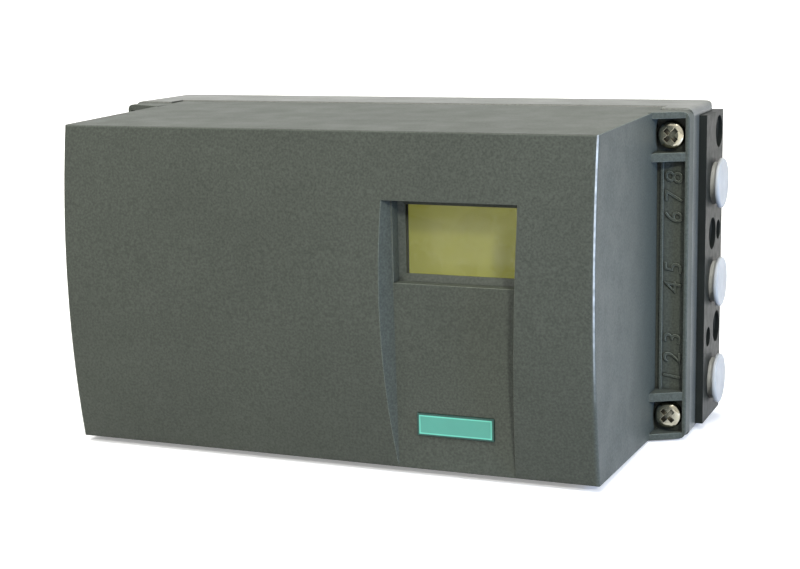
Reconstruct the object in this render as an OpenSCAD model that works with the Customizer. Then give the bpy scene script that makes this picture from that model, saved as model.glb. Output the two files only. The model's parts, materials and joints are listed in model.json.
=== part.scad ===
// Electropneumatic valve positioner with a lift-off cover.
// Millimetres. X runs to the right, Y to the rear, Z up, seen from the front.
// The origin is the feedback shaft's axis on the rear mounting face.

/* [Base] */
// Height of the base housing
base_h = 95; // [90:0.5:110]
// Height of the shaft axis above the base's underside
shaft_up = 37; // [35:0.5:42]
// Distance from the shaft axis to the base's left side
left_reach = 104; // [102:0.5:115]
// Distance from the shaft axis to the base's right side
right_reach = 76.2; // [75:0.1:85]
// Depth of the base from the rear face to the cover's seam
base_depth = 23.5; // [23:0.5:30]
// How far the side cheeks stand forward of the seam
cheek_rise = 7; // [5:0.5:10]
// Thickness of the base's top, bottom and left walls
base_wall = 5.5; // [5:0.5:7]
// Thickness of the base's rear wall
base_floor = 5; // [4:0.5:7]
// Reach of the round on the base's rear corners
base_corner = 7; // [3:0.5:9]
// Reach of the round on the long edges of the base and the ears
side_round = 2.4; // [1:0.1:3]
// Radius of the base's front edges above and below the cover
lip_round = 0.8; // [0.4:0.1:1.5]

/* [Cover] */
// Depth of the cover from its seam to its upper front edge
cover_len = 69.5; // [65:0.5:85]
// How far the front's upper and lower edges lie inside the base's height
front_drop = 1.8; // [1.6:0.1:3]
// How far the front's lower edge is set back from its upper edge
front_set_back = 1.6; // [0.5:0.1:4]
// Height of the front's bulge over its chord
front_bulge = 4.2; // [2:0.1:6]
// Wall thickness of the cover
cover_wall = 3; // [2.5:0.1:3.5]
// Draft of the cover's top and underside in degrees
draft = 1.2; // [0.5:0.1:1.3]
// Draft of the cover's sides in degrees
side_draft = 0.6; // [0.3:0.1:1]
// Reach of the round on the front's side edges
edge_reach = 1.2; // [0.8:0.1:2.5]
// Reach of the round on the front's upper and lower edges
crest_reach = 0.6; // [0.4:0.1:1.5]

/* [Ears] */
// Width of the left ear beside the cover's side
ear_left = 14; // [12:0.1:15]
// Width of the right ear beside the cover's side
ear_right = 10.1; // [9.9:0.1:11]
// Thickness of the ear plate under the screw heads
ear_t = 3; // [2.5:0.1:3.5]
// Height of the ear's rim over the ear plate
rim_rise = 2.2; // [1:0.1:3]
// Width of the ear's rim
rim_w = 1.1; // [1:0.1:1.5]
// How far the ribs climb the cover's side over the ear plate
rib_climb = 7.6; // [5:0.1:9]
// Thickness of the ribs
rib_t = 2.4; // [1.8:0.1:2.6]
// Height of each screw pocket
pocket_h = 9.6; // [9:0.1:11]
// Thickness of the ear's end walls
ear_end_t = 1.8; // [1.4:0.1:2.2]
// Width of the ridge that borders the bare strip between the pockets
ridge_w = 0.8; // [0.6:0.1:1.2]

/* [Front recess and window] */
// Distance from the shaft axis to the lower left corner of the recess floor
recess_x = 10.2; // [8:0.1:14]
// Width of the recess floor at its lower end
recess_w = 33.2; // [32:0.1:36]
// Lean of the recess's left edge in degrees
flare_left = 0.5; // [0:0.1:1]
// Lean of the recess's right edge in degrees
flare_right = 1.7; // [0:0.1:2]
// Distance from the front's upper edge down to the recess's top
recess_down = 17.9; // [15:0.1:20]
// Slope of the recess's left wall, sideways per millimetre of depth
recess_slope = 0.6; // [0.2:0.1:1]
// Depth of the pad behind the recess floor
pad_t = 4; // [3.5:0.1:5]
// Height of the window opening
window_h = 22.3; // [18:0.1:24]
// Gap between the window opening and the recess's walls
window_margin = 0.2; // [0.1:0.1:0.6]
// Width of the ledge inside the window opening
window_ledge = 1.8; // [1:0.1:2.5]
// Depth of the window's walls, from the recess floor down to the ledge
window_step = 3.9; // [3.5:0.1:4.5]
// How far the ledge slopes into the cover towards the pane
ledge_drop = 0.9; // [0.5:0.1:1.2]
// Thickness of the window pane
pane_t = 2; // [1.5:0.1:2.5]
// How far the pane overlaps the ledge
pane_lap = 2; // [1.5:0.1:2.5]
// Width of the bare plate under the window
badge_w = 21.7; // [16:0.1:26]
// Height of the bare plate
badge_h = 6.2; // [4:0.1:8]
// Thickness of the bare plate
badge_t = 0.9; // [0.7:0.1:1.2]
// Depth of the seat that holds the bare plate
badge_seat = 0.4; // [0.2:0.1:0.6]
// Height of the bare plate above the front's lower edge
badge_up = 9.7; // [6:0.1:14]

/* [Cover screws] */
// Shank diameter of the cover screws
screw_d = 4; // [3.5:0.1:4.2]
// Head diameter of the cover screws
screw_head_d = 8; // [7:0.1:8]
// Head height of the cover screws
screw_head_h = 2.6; // [2:0.1:3]
// Length of the cover screws below the head
screw_len = 8.5; // [8:0.1:10]
// Outer diameter of the inserts that take the cover screws
screw_insert_d = 5.8; // [5.4:0.1:6]

/* [Pneumatic block] */
// Width of the block from side to side
block_w = 31; // [28:0.5:33]
// How far the block stands proud of the base's side
block_proud = 2.2; // [1.5:0.1:4]
// Gap between the block's lower end and the base's underside
block_low = 2; // [1.5:0.1:3.5]
// Gap between the block's upper end and the base's top
block_high = 2.6; // [2:0.1:3.5]
// Thickness of the base wall in front of the block
block_wall = 3; // [2.5:0.1:4]
// How far the block's outer edge steps forward into that wall
block_step = 2.5; // [1.5:0.1:2.5]
// Width of that step
block_step_w = 9; // [6:0.5:10]
// Distance between ports
port_pitch = 29.25; // [28.5:0.05:30]
// Height of the lowest port above the base's underside
port_up = 13.25; // [12:0.25:15]
// Diameter of the ports
port_d = 12.4; // [12:0.1:13.2]
// Depth of the ports
port_depth = 16; // [12:0.5:18]
// Distance from the rear face to the port axes
port_back = 11.2; // [9.5:0.1:12]
// Diameter of the side mounting holes and the exhaust hole
side_hole_d = 9.4; // [6:0.1:9.5]
// Depth of the side holes
side_hole_depth = 14; // [10:0.5:16]
// Diameter of the small vent holes
vent_d = 5.8; // [4:0.1:6]
// Thickness of the dust plugs' flange
plug_flange_t = 1.2; // [1.2:0.1:2.5]
// Diameter of the dust plugs' flange
plug_flange_d = 14.6; // [14:0.1:16]
// Length of the dust plugs' collar outside the port
plug_collar = 1.6; // [1:0.1:3]
// Length of the dust plugs inside the port
plug_reach = 7; // [5:0.5:9]

/* [Feedback drive] */
// Diameter of the shaft's free end
shaft_d = 8; // [7:0.1:9]
// Length of the shaft's free end behind the rear face
shaft_free = 15; // [12:0.5:20]
// Depth of the flat on the shaft's free end
shaft_flat = 0.5; // [0.3:0.1:0.7]
// Diameter of the shaft inside the bush
journal_d = 10; // [9.5:0.1:11]
// Outer diameter of the shaft bush
bush_d = 14; // [13:0.1:16]
// Length of the shaft bush
bush_len = 12; // [10:0.5:14]
// Length of the shaft seal
seal_len = 3; // [2:0.1:4]
// Module of the gears
gear_module = 0.8; // [0.7:0.05:0.85]
// Teeth of the drive gear
gear_teeth = 60; // [50:2:60]
// Teeth of the pinion
pinion_teeth = 20; // [18:1:20]
// Face width of the drive gear
gear_face = 5; // [4:0.5:6]
// Direction of the pinion as seen from the shaft, in degrees
pinion_angle = 200; // [190:1:210]
// Diameter of the clutch adjusting wheel
clutch_d = 22; // [18:1:24]
// Thickness of the clutch adjusting wheel
clutch_t = 3; // [2:0.5:4]
// Diameter of the potentiometer's body
pot_d = 22; // [18:0.5:24]
// Length of the potentiometer's body
pot_len = 13; // [10:0.5:16]
// Diameter of the potentiometer's shaft
pot_shaft_d = 6; // [5:0.1:6.5]
// Thickness of the gear bracket
bracket_t = 2; // [1.5:0.1:2.5]
// Length of the travel-ratio lever
lever_len = 16; // [12:0.5:18]

/* [Rear mounting] */
// Spacing of the mounting inserts across the part
insert_dx = 50; // [44:0.5:52]
// Spacing of the mounting inserts up the part
insert_dz = 29; // [27:0.5:32]
// Hole diameter of the mounting inserts
insert_hole_d = 6.8; // [6:0.1:8]
// Outer diameter of the mounting inserts
insert_d = 12; // [10:0.1:13]
// Depth of the mounting inserts
insert_len = 14; // [12:0.5:15]

/* [Electronics] */
// Width of the electronics to the right of the display
case_beside = 9.4; // [8.5:0.1:12]
// Gap between the electronics and the cover's top wall
case_gap = 1.4; // [1:0.1:2]
// Thickness of the tray's and the module cover's walls
case_wall = 2; // [1.6:0.1:2.2]
// Thickness of the boards
board_t = 1.6; // [1.2:0.1:2]
// Distance from the rear face to the tray's rear side
tray_back = 48; // [47:0.5:52]
// Depth of the tray
tray_len = 14; // [12:0.5:16]
// Distance from the pane's rear side to the module cover
case_to_pane = 5; // [4:0.1:6]
// Depth of the display glass
glass_t = 3; // [2:0.1:4]
// Diameter of the push buttons
button_d = 5.6; // [4:0.1:6]
// Distance between push buttons
button_pitch = 11; // [9:0.5:11.5]
// Travel of the push buttons
button_travel = 0.8; // [0.4:0.1:1]
// How far the push buttons stand out of the module cover
button_proud = 2; // [1.2:0.1:2.5]
// Gap for the wires between the cover's wall and the terminal board
wiring_gap = 5; // [4:0.5:8]
// Number of wires in each terminal block
terminal_ways = 6; // [4:1:6]
// Pitch of the terminals
terminal_pitch = 5.5; // [5:0.05:5.7]
// Depth of the terminal blocks
terminal_depth = 12; // [10:0.5:14]

/* [Valves] */
// Width of the valve manifold
manifold_w = 28; // [26:0.5:30]
// Depth of the valve manifold
manifold_len = 20; // [16:0.5:22]
// Depth of each pilot valve
pilot_len = 14; // [10:0.5:18]
// Travel of the purge-air selector
purge_travel = 5; // [3:0.5:6]

/* [Cable entries] */
// Thread diameter of the cable entries
entry_d = 20; // [19:0.1:20.2]
// Distance between the cable entries
entry_pitch = 36; // [32:0.5:40]
// Width of the gland's hexagon across its flats
gland_flats = 24; // [22:0.1:24.5]
// Thickness of the gland's hexagon
gland_hex_t = 5; // [4:0.5:7]
// Length of the gland's nut
gland_nut_len = 16; // [14:0.5:20]
// Diameter of the cable that the gland's seal takes
cable_d = 8; // [6:0.5:9]

/* [Fits] */
// Radial clearance of parts that turn or slide on each other
run_gap = 0.06; // [0.03:0.01:0.1]
// Gap between a seated part and its seat
seat_gap = 0.05; // [0.03:0.01:0.1]
// Gap beside a part that moves past another
free_gap = 0.3; // [0.3:0.05:0.5]

/* [Hidden] */
// Facets of a drawn circle, a length beyond the whole part, and the overlap of joined or cut solids
$fn = 64;
far = 300;
bite = 1;

base_bottom = -shaft_up;
base_top = base_h - shaft_up;
seam_y = -base_depth;
cheek_y = seam_y - cheek_rise;
front_y = seam_y - cover_len;
front_bottom = base_bottom + front_drop;
front_top = base_top - front_drop;
front_h = front_top - front_bottom;
cover_left = -left_reach + ear_left;
cover_right = right_reach - ear_right;
seam_gap = 1;
rim_y = seam_y - seam_gap;

// Outside of the cover at depth y
function top_at(y) = front_top + (y - front_y) * tan(draft);
function bottom_at(y) = front_bottom - (y - front_y) * tan(draft);
function right_at(y) = cover_right + (y - front_y) * tan(side_draft);
function left_at(y) = cover_left - (y - front_y) * tan(side_draft);

// Inner sides of the base's cheeks
cheek_x = [left_at(seam_y) - free_gap, right_at(seam_y) + free_gap];

// The front's arc over its chord
chord = norm([front_set_back, front_h]);
chord_tilt = atan(front_set_back / front_h);
front_r = chord * chord / (8 * front_bulge) + front_bulge / 2;
arc_y = front_y + front_set_back / 2 + (front_r - front_bulge) * cos(chord_tilt);
arc_z = (front_top + front_bottom) / 2 + (front_r - front_bulge) * sin(chord_tilt);
arc_slope = asin(chord / 2 / front_r);

// Ears
ear_back = cheek_y - seat_gap;
ear_front = ear_back - ear_t;
rim_front = ear_front - rim_rise;
ear_low = bottom_at(ear_front);
ear_high = top_at(ear_front);
ear_mid_low = ear_low + ear_end_t + pocket_h;
ear_mid_high = ear_high - ear_end_t - pocket_h;
screw_in = rim_w + screw_head_d / 2 + free_gap / 2;
screw_x = [-left_reach + screw_in, right_reach - screw_in];
screw_z = [ear_mid_low - pocket_h / 2, ear_mid_high + pocket_h / 2];
insert_deep = screw_len - ear_t + bite;

// Window, in the frame of the front's chord
recess_h = chord - recess_down;
window_top = recess_h - window_margin;
window_low = window_top - window_h;
window_x = recess_x - window_low * tan(flare_left) + window_margin;
window_w = recess_x + recess_w + window_low * tan(flare_right) - window_margin - window_x;
pane_edge = pane_lap + 2 * bite;
ledge_t = 0.6;
pane_y = window_step + ledge_drop + ledge_t;
pane_rear_y = front_y + front_set_back + pane_y + pane_t;

// Pneumatic block
block_x1 = right_reach + block_proud;
block_x0 = block_x1 - block_w;
block_y0 = seam_y + block_wall;
step_x = block_x1 - block_step_w;
step_y = block_y0 - block_step;
block_z0 = base_bottom + block_low;
block_z1 = base_top - block_high;
port_z = [for (i = [0:2]) base_bottom + port_up + i * port_pitch];
side_hole_y = -side_hole_d / 2 - bite;
upper_hole_y = -port_back - 2 * bite;
vent_y = -vent_d / 2 - 2 * bite;
low_vent_y = -port_back - vent_d;
half_pitch = port_pitch / 2;
// Side holes of the block: Y, Z and diameter
side_holes = [
    [side_hole_y, port_z[2] + half_pitch, side_hole_d],
    [upper_hole_y, port_z[1] + half_pitch, side_hole_d],
    [vent_y, port_z[1] + half_pitch, vent_d],
    [side_hole_y, port_z[0] + half_pitch, side_hole_d],
    [low_vent_y, port_z[0] + half_pitch - bite, vent_d]];
rear_screw_d = 5;
rear_screw_len = 7;
rear_screw_in = 8;
rear_screw_places = [for (i = [0:1]) [block_x0 + rear_screw_in, port_z[i + 1] - port_pitch / 2]];

// Feedback drive, from the rear forwards
seal_y0 = -seal_len;
bush_y0 = seal_y0 - bush_len;
gear_gap = free_gap;
collar_t = 3;
gear_rear = bush_y0 - gear_gap - collar_t;
gear_front = gear_rear - gear_face;
ring_t = 1;
ring_front = gear_front - ring_t - run_gap;
shaft_end = 1;
shaft_front = ring_front - shaft_end;
seat_d = journal_d - 1.5;
groove_d = seat_d - 1.2;
collar_d = journal_d + 4;
gear_r = gear_module * gear_teeth / 2;
pinion_r = gear_module * pinion_teeth / 2;
backlash = 0.16;
gear_spread = 0.1;
gear_distance = gear_r + pinion_r + gear_spread;
pinion_at = gear_distance * [cos(pinion_angle), sin(pinion_angle)];
pinion_face = gear_face + 1;
pinion_rear = gear_rear + 0.5;
pinion_front = pinion_rear - pinion_face;
clutch_rear = pinion_front - free_gap;
clutch_front = clutch_rear - clutch_t;
bracket_rear = clutch_front - 2 * free_gap;
bracket_front = bracket_rear - bracket_t;
pot_front = bracket_front - pot_len;
post_d = 8;
post_screw_d = 3;
post_screw_hold = 8;
post_hole_deep = post_screw_hold + bite;
bracket_posts = [pinion_at + [-17, -15], pinion_at + [18, -16], pinion_at + [-6, 19]];
lever_at = pinion_at + [pot_d / 2 + 3.5, 16];
lever_w = 5;
lever_t = 2.4;
lever_pin_d = 4;
lever_grip = 4;
pot_shaft_in = 6;
lever_front = bracket_front - free_gap - lever_t;
boss_d = insert_d + 4;
boss_end = 2;
bush_boss_d = bush_d + 5;
insert_places = [for (sx = [-1, 1], sz = [-1, 1]) [sx * insert_dx / 2, sz * insert_dz / 2]];

// Electronics, from the rear forwards
terminal_w = 18;
terminal_aside = 2;
terminal_x0 = cover_left + cover_wall + wiring_gap;
terminal_x1 = terminal_x0 + terminal_w;
case_left = -terminal_x1 - terminal_aside;
case_top = front_top - cover_wall - case_gap;
tray_rear = -tray_back;
tray_front = tray_rear - tray_len;
board_sunk = 2;
board_rear = tray_front + board_sunk;
board_front = board_rear - board_t;
case_front = pane_rear_y + case_to_pane;
glass_proud = 0.5;
glass_front = case_front - glass_proud;
glass_rear = glass_front + glass_t;
glass_margin = 0.6;
glass_x = [window_x - glass_margin, window_x + window_w + glass_margin];
glass_top = front_bottom + window_top + glass_margin;
glass_z = [glass_top - window_h - 2 * glass_margin, glass_top];
case_right = glass_x[1] + case_beside;
button_flange_d = button_d + 2;
button_row = button_flange_d + 2 * free_gap;
case_bottom = glass_z[0] - button_row - case_wall;
button_x = [for (i = [-1:1]) window_x + window_w / 2 + i * button_pitch];
button_z = glass_z[0] - button_row / 2;
button_flange = 1.5;
switch_h = 4;
switch_w = 6;
switch_slack = 0.1;
switch_front = board_front - switch_h;
button_rear = switch_front - button_travel - switch_slack;
tray_post_in = case_wall + post_d / 2;
tray_posts = [for (x = [-case_left + tray_post_in, case_right - tray_post_in],
    z = [case_bottom + tray_post_in, case_top - tray_post_in]) [x, z]];
module_boss_d = 6;
module_boss_in = case_wall + module_boss_d / 2 + bite;
module_posts = [for (x = [-case_left + module_boss_in, case_right - module_boss_in])
    [x, (case_bottom + case_top) / 2]];

// Terminals, on a board beside the electronics
terminal_back = 33;
terminal_rear = -terminal_back;
terminal_seat = terminal_rear - board_t - seat_gap;
terminal_front = terminal_seat - terminal_depth;
terminal_end = 0.5;
terminal_h = terminal_ways * terminal_pitch + 2 * terminal_end;
terminal_clear = 1.7;
terminal_screw_d = 3.4;
terminal_screw_in = 5;
terminal_screw_deep = 5;
terminal_edge = 3;
terminal_board_z = [front_bottom + cover_wall + terminal_clear, front_top - cover_wall - terminal_clear];
terminal_z = [terminal_board_z[0] + terminal_edge, terminal_board_z[1] - terminal_edge - terminal_h];
terminal_posts = [for (z = [terminal_board_z[0] + post_d / 2, terminal_board_z[1] - post_d / 2])
    [(terminal_x0 + terminal_x1) / 2, z]];

// Valves
manifold_gap = 1.5;
manifold_x1 = cover_right - cover_wall - manifold_gap;
manifold_x0 = manifold_x1 - manifold_w;
manifold_z0 = front_bottom + cover_wall + manifold_gap;
manifold_z1 = case_bottom - manifold_gap;
manifold_h = manifold_z1 - manifold_z0;
manifold_rear = seam_y - seat_gap;
manifold_front = manifold_rear - manifold_len;
pilot_front = manifold_front - pilot_len;
duct_side = 3;
duct_end = 6;
duct = [[block_x0 + duct_side, manifold_z0 + duct_end], [manifold_x1 - duct_side, manifold_z1 - duct_end]];
// Air ways between the block and the manifold, X and Z
air_way_in = 5;
air_ways = [for (z = [duct[0][1] + duct_end, duct[1][1] - duct_end]) [duct[0][0] + air_way_in, z]];
air_way_deep = 15;
block_screw_d = 4;
block_screw_hold = 8;
block_screw_up = 16;
block_screw_down = 20;
block_screw_places = [for (z = [manifold_z1 + block_screw_up, block_z1 - block_screw_down])
    [(block_x0 + manifold_x1) / 2, z]];
purge_w = 4.4;
purge_y = manifold_rear - manifold_len / 2;
purge_deep = 2.5;
purge_knob_h = 7;
purge_up = 8;
purge_z0 = manifold_z0 + purge_up;

// Cable entries
entry_back = 14;
entry_up = 10;
gland_at = [-entry_back, entry_up - entry_pitch / 2];
plug_at = [-entry_back, entry_up + entry_pitch / 2];
gland_bore = cable_d + 5;
gland_face = -left_reach - gland_hex_t;
gland_neck = 6;
gland_neck_d = entry_d - 1;
gland_inside = 3;
seal_t = 8;
plug_seal_t = 1.5;
plug_head_t = 3.5;
plug_inside = 2;
slot_w = 2.4;
slot_l = 12;
slot_deep = 1.6;

// Draws an X and Y outline upwards from z0 to z1
module along_z(z0, z1) {
    translate([0, 0, z0]) linear_extrude(z1 - z0) children();
}

// Draws an X and Z outline to the rear from y0 to y1
module along_y(y0, y1) {
    translate([0, y1, 0]) rotate([90, 0, 0]) linear_extrude(y1 - y0) children();
}

// Draws a Y and Z outline to the right from x0 to x1
module along_x(x0, x1) {
    translate([x0, 0, 0]) rotate([90, 0, 90]) linear_extrude(x1 - x0) children();
}

// A box between two corners
module box(low, high) {
    translate(low) cube(high - low);
}

// A round rod along Y at an X and Z place
module rod_y(d, y0, y1, at = [0, 0]) {
    translate([at[0], y1, at[1]]) rotate([90, 0, 0]) cylinder(d = d, h = y1 - y0);
}

// A round rod along X at a Y and Z place
module rod_x(d, x0, x1, at) {
    translate([x0, at[0], at[1]]) rotate([0, 90, 0]) cylinder(d = d, h = x1 - x0);
}

// A ring along Y
module ring_y(d_out, d_in, y0, y1, at = [0, 0]) {
    difference() {
        rod_y(d_out, y0, y1, at);
        rod_y(d_in, y0 - bite, y1 + bite, at);
    }
}

// A hexagonal bar along X with flats to front and rear
module hex_x(flats, x0, x1, at) {
    translate([x0, at[0], at[1]]) rotate([0, 90, 0])
        cylinder(r = flats / 2 / cos(30), h = x1 - x0, $fn = 6);
}

function toward(p, q) = (q - p) / norm(q - p);

// Points that round the corner p between its neighbours a and b
function bend(a, p, b, reach, steps = 6) = [for (i = [0:steps]) let (t = i / steps)
    p + (1 - t) * (1 - t) * reach * toward(p, a) + t * t * reach * toward(p, b)];

// Side outline of the cover, inset from its outside, open in front of the arc
function side_outline(inset) = let (
    low = [front_y + front_set_back, front_bottom + inset],
    high = [front_y, front_top - inset],
    slope_low = tan(arc_slope - chord_tilt),
    slope_high = tan(arc_slope + chord_tilt),
    meet_z = (low[1] + high[1]) / 2,
    meet = [low[0] - (meet_z - low[1]) * max(slope_low, slope_high) - bite, meet_z],
    rear_low = [0, bottom_at(0) + inset],
    rear_high = [0, top_at(0) - inset])
    concat([rear_high, rear_low],
        bend(rear_low, low, low + [-slope_low, 1] * front_h, crest_reach),
        [meet],
        bend(high + [-slope_high, -1] * front_h, high, rear_high, crest_reach));

// Half outline that is turned about the arc's axis: distance from the axis, then X
function turned_outline(inset) = let (
    r = front_r - inset,
    inner = r - cover_len - base_depth,
    spread = (r - inner) * tan(side_draft),
    x0 = cover_left + inset,
    x1 = cover_right - inset)
    concat([[inner, x0 - spread]],
        bend([inner, x0 - spread], [r, x0], [r, x1], edge_reach),
        bend([r, x0], [r, x1], [inner, x1 + spread], edge_reach),
        [[inner, x1 + spread]]);

// The cover's drafted, arched block, inset from its outside and ending at rear_y
module cover_block(inset, rear_y) {
    intersection() {
        translate([0, arc_y, arc_z]) rotate([0, 90, 0])
            rotate_extrude() polygon(turned_outline(inset));
        along_x(-far, far) polygon(side_outline(inset));
        box([-far, -far, -far], [far, rear_y, far]);
    }
}

// Places things in the frame of the front's chord: Z along the chord, Y into the cover
module on_chord() {
    translate([0, front_y + front_set_back, front_bottom]) rotate([chord_tilt, 0, 0]) children();
}

// One ear, built to the right of X = 0, where the cover's side is
module ear(w) {
    rim_x = w - rim_w;
    ridge_x = rim_x - screw_head_d / 2 - ridge_w - rib_t;
    rib = [[-bite, ear_front - rib_climb], [rim_x, rim_front], [rim_x, ear_back], [-bite, ear_back]];
    rim = concat([[rim_x, ear_back], [rim_x, rim_front]],
        bend([rim_x, rim_front], [w, rim_front], [w, ear_back], rim_w / 2), [[w, ear_back]]);
    box([-bite, ear_front, ear_low], [w, ear_back, ear_high]);
    along_z(ear_low, ear_high) polygon(rim);
    for (z = [ear_low, ear_high - ear_end_t]) along_z(z, z + ear_end_t) polygon(rib);
    for (z = [ear_mid_low, ear_mid_high - rib_t]) along_z(z, z + rib_t) polygon(rib);
    box([ridge_x, ear_front - ridge_w, ear_mid_low], [ridge_x + ridge_w, ear_back, ear_mid_high]);
}

// Front outline of the base or the ears, with its corners rounded
function end_outline(low, high) = let (
    corners = [[-left_reach, low], [right_reach, low], [right_reach, high], [-left_reach, high]])
    [for (i = [0:3]) each bend(corners[(i + 3) % 4], corners[i], corners[(i + 1) % 4], side_round)];

// Both ears at the cover's sides
module ears() {
    intersection() {
        union() {
            translate([right_at(ear_front), 0, 0]) ear(right_reach - right_at(ear_front));
            translate([left_at(ear_front), 0, 0])
                mirror([1, 0, 0]) ear(left_reach + left_at(ear_front));
        }
        along_y(-far, 0) polygon(end_outline(ear_low, ear_high));
    }
}

// Space in front of the recess floor, wider towards its top
module recess_cut() {
    deep = front_bulge + 2 * bite;
    on_chord() intersection() {
        translate([recess_x, 0, 0]) rotate([0, -flare_left, 0])
            along_z(-far, far) polygon([[0, 0], [far, 0], [far, -deep], [-recess_slope * deep, -deep]]);
        translate([recess_x + recess_w, 0, 0]) rotate([0, flare_right, 0])
            box([-far, -far, -far], [0, bite, far]);
        box([-far, -far, -far], [far, bite, recess_h]);
    }
}

// Funnel that narrows from the window's walls to its clear opening, with mitred corners
module ledge_cut() {
    front = window_step - bite;
    rear = window_step + ledge_drop;
    right = window_x + window_w;
    intersection() {
        along_z(window_low, window_top) polygon([[window_x, front], [window_x, window_step],
            [window_x + window_ledge, rear], [right - window_ledge, rear], [right, window_step], [right, front]]);
        along_x(window_x, right) polygon([[front, window_low], [window_step, window_low],
            [rear, window_low + window_ledge], [rear, window_top - window_ledge],
            [window_step, window_top], [front, window_top]]);
    }
}

// Window opening with its sloping ledge and the seat for the pane
module window_cut() {
    on_chord() {
        box([window_x, -far, window_low], [window_x + window_w, window_step, window_top]);
        ledge_cut();
        box([window_x + window_ledge, -bite, window_low + window_ledge],
            [window_x + window_w - window_ledge, far / 10, window_top - window_ledge]);
        box([window_x - pane_lap, pane_y, window_low - pane_lap],
            [window_x + window_w + pane_lap, far / 10, window_top + pane_lap]);
    }
}

// Seat for the bare plate in the recess floor
module badge_cut() {
    x = recess_x + (recess_w - badge_w) / 2;
    on_chord() box([x, -far, badge_up], [x + badge_w, badge_seat, badge_up + badge_h]);
}

// Thicker wall behind the recess, with a collar around the window's pane
module recess_pad() {
    left = window_x - front_bulge * recess_slope - pane_edge;
    right = window_x + window_w + pane_edge;
    intersection() {
        cover_block(bite / 2, rim_y);
        on_chord() {
            box([left, -front_bulge, -far], [right, pad_t, window_top + pane_edge]);
            box([window_x - pane_edge, 0, window_low - pane_edge],
                [right, pane_y + pane_t, window_top + pane_edge]);
        }
    }
}

module cover() {
    color("#5f6159") difference() {
        union() {
            difference() {
                cover_block(0, rim_y);
                cover_block(cover_wall, rim_y + bite);
            }
            recess_pad();
            ears();
        }
        recess_cut();
        window_cut();
        badge_cut();
        for (x = screw_x, z = screw_z)
            rod_y(screw_d + 2 * free_gap, ear_front - bite, ear_back + bite, [x, z]);
    }
}

module window_pane() {
    over = pane_lap - seat_gap;
    low = [window_x - over, pane_y + seat_gap, window_low - over];
    high = [window_x + window_w + over, pane_y + pane_t, window_top + over];
    color("lightcyan", 0.4) on_chord() box(low, high);
}

module badge_plate() {
    x = recess_x + (recess_w - badge_w) / 2;
    color("#4fa896") on_chord() box([x + seat_gap, badge_seat - badge_t, badge_up + seat_gap],
        [x + badge_w - seat_gap, badge_seat - seat_gap / 2, badge_up + badge_h - seat_gap]);
}

// A flat ring that follows the cover's rear rim
module cover_gasket() {
    outside = 0.8;
    module frame(inset, y0, y1) {
        box([left_at(rim_y) + inset, y0, bottom_at(rim_y) + inset],
            [right_at(rim_y) - inset, y1, top_at(rim_y) - inset]);
    }
    color("#1c1c1c") difference() {
        frame(outside, rim_y + seat_gap, seam_y - seat_gap);
        frame(cover_wall, rim_y - bite, seam_y + bite);
    }
}

// Pan-head screw with a cross recess, head towards the front
module pan_screw(d, len, head_d, head_h) {
    head_r = head_d / 2;
    cross_w = head_d / 6;
    cross_l = head_d * 0.56;
    crown = bend([head_r, 0], [head_r, head_h], [0, head_h], head_h * 0.7);
    difference() {
        union() {
            rotate([90, 0, 0]) rotate_extrude()
                polygon(concat([[0, 0], [head_r, 0]], crown, [[0, head_h]]));
            rod_y(d, -bite / 2, len);
        }
        for (turn = [45, 135]) rotate([0, turn, 0])
            box([-cross_l / 2, -2 * head_h, -cross_w / 2], [cross_l / 2, -head_h * 0.4, cross_w / 2]);
    }
}

module cover_screws() {
    color("silver") for (x = screw_x, z = screw_z)
        translate([x, ear_front - seat_gap, z])
            pan_screw(screw_d, screw_len, screw_head_d, screw_head_h);
}

// Smaller pan-head screw, its head in proportion to its shank
module inner_screw(d, len) {
    pan_screw(d, len, 1.8 * d, 0.65 * d);
}

// Plan outline of the base with its two cheeks
function base_outline() =
    concat([[-left_reach, cheek_y], [cheek_x[0], cheek_y], [cheek_x[0], seam_y],
        [cheek_x[1], seam_y], [cheek_x[1], cheek_y], [right_reach, cheek_y]],
        bend([right_reach, cheek_y], [right_reach, 0], [0, 0], base_corner),
        bend([0, 0], [-left_reach, 0], [-left_reach, cheek_y], base_corner));

// What is cut from the base's upper front edge at depth y to round it
module lip_cut(x0, x1, y) {
    difference() {
        box([x0, y - bite, base_top - lip_round], [x1, y + lip_round, base_top + bite]);
        rod_x(2 * lip_round, x0 - bite, x1 + bite, [y + lip_round, base_top - lip_round]);
    }
}

// Rounds of the base's upper front edges, over the cover and over both cheeks
module lip_cuts() {
    lip_cut(cheek_x[0], cheek_x[1], seam_y);
    lip_cut(-far, cheek_x[0], cheek_y);
    lip_cut(cheek_x[1], far, cheek_y);
}

// Everything that stands on the base's rear wall inside
module base_bosses() {
    root = -base_floor + bite;
    function tray_root(x) = x < block_x0 - post_d ? root : seam_y + bite;
    for (at = insert_places) rod_y(boss_d, -insert_len - boss_end, root, at);
    rod_y(bush_boss_d, bush_y0 + bite, root);
    for (at = bracket_posts) rod_y(post_d, bracket_rear + seat_gap, root, at);
    for (at = tray_posts) rod_y(post_d, tray_rear + seat_gap, tray_root(at[0]), at);
    for (at = terminal_posts) rod_y(post_d, terminal_rear + seat_gap, root, at);
}

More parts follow.
